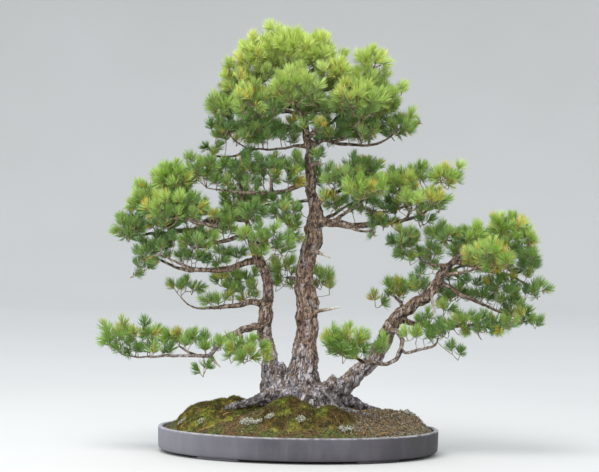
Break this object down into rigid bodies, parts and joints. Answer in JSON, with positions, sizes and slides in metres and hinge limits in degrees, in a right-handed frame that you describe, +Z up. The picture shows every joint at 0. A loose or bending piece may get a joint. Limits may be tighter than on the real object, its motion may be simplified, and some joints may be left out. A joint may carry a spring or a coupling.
{
  "type": "japanese white pine bonsai",
  "caption": "White pine bonsai with several trunks rising from one spreading root base, clouds of short needles on level branches, in a shallow oval stoneware tray of mossy soil.",
  "frame": {"origin": "middle of the whole plant's box at its lowest face, the surface that the tray's feet stand on", "axes": "+Z up; +X to the right along the tree's and the tray's length, seen from the front; +Y from front to back"},
  "size_m": [0.913, 0.4, 0.8527],
  "materials": {
    "tray": "matte",
    "screen": "matte",
    "soil": "matte",
    "moss": "matte",
    "bark": "matte",
    "needles": "satin"
  },
  "bodies": {
    "root": {"drain_screen_left": "screen", "drain_screen_right": "screen", "moss_mat_back": "moss", "moss_mat_front": "moss", "moss_mat_left": "moss", "soil": "soil", "spray_behind_right_trunk": "needles", "spray_behind_trunks": "needles", "spray_crown_back": "needles", "spray_crown_front": "needles", "spray_crown_left_back": "needles", "spray_crown_left_front": "needles", "spray_crown_left_shoulder": "needles", "spray_crown_left_tip": "needles", "spray_crown_right": "needles", "spray_crown_right_back": "needles", "spray_crown_right_front": "needles", "spray_crown_right_top": "needles", "spray_crown_top": "needles", "spray_crown_top_left": "needles", "spray_crown_top_right": "needles", "spray_left_back": "needles", "spray_left_front": "needles", "spray_left_hanger": "needles", "spray_left_inner": "needles", "spray_left_inner_back": "needles", "spray_left_inner_front": "needles", "spray_left_inner_top": "needles", "spray_left_low": "needles", "spray_left_low_front": "needles", "spray_left_middle": "needles", "spray_left_riser": "needles", "spray_left_shoulder": "needles", "spray_left_tip": "needles", "spray_left_top": "needles", "spray_left_upper": "needles", "spray_low_left_front": "needles", "spray_low_left_inner": "needles", "spray_low_left_middle": "needles", "spray_low_left_tip": "needles", "spray_lower_back": "needles", "spray_lower_front": "needles", "spray_lower_left_wing": "needles", "spray_lower_peak": "needles", "spray_lower_right": "needles", "spray_lower_shoulder": "needles", "spray_lower_skirt": "needles", "spray_lower_skirt_inner": "needles", "spray_lower_skirt_tip": "needles", "spray_lower_top": "needles", "spray_right_back": "needles", "spray_right_dome": "needles", "spray_right_front": "needles", "spray_right_inner": "needles", "spray_right_inner_top": "needles", "spray_right_low": "needles", "spray_right_middle": "needles", "spray_right_tip": "needles", "tray": "tray", "tree_wood": "bark"}
  },
  "joints": []
}
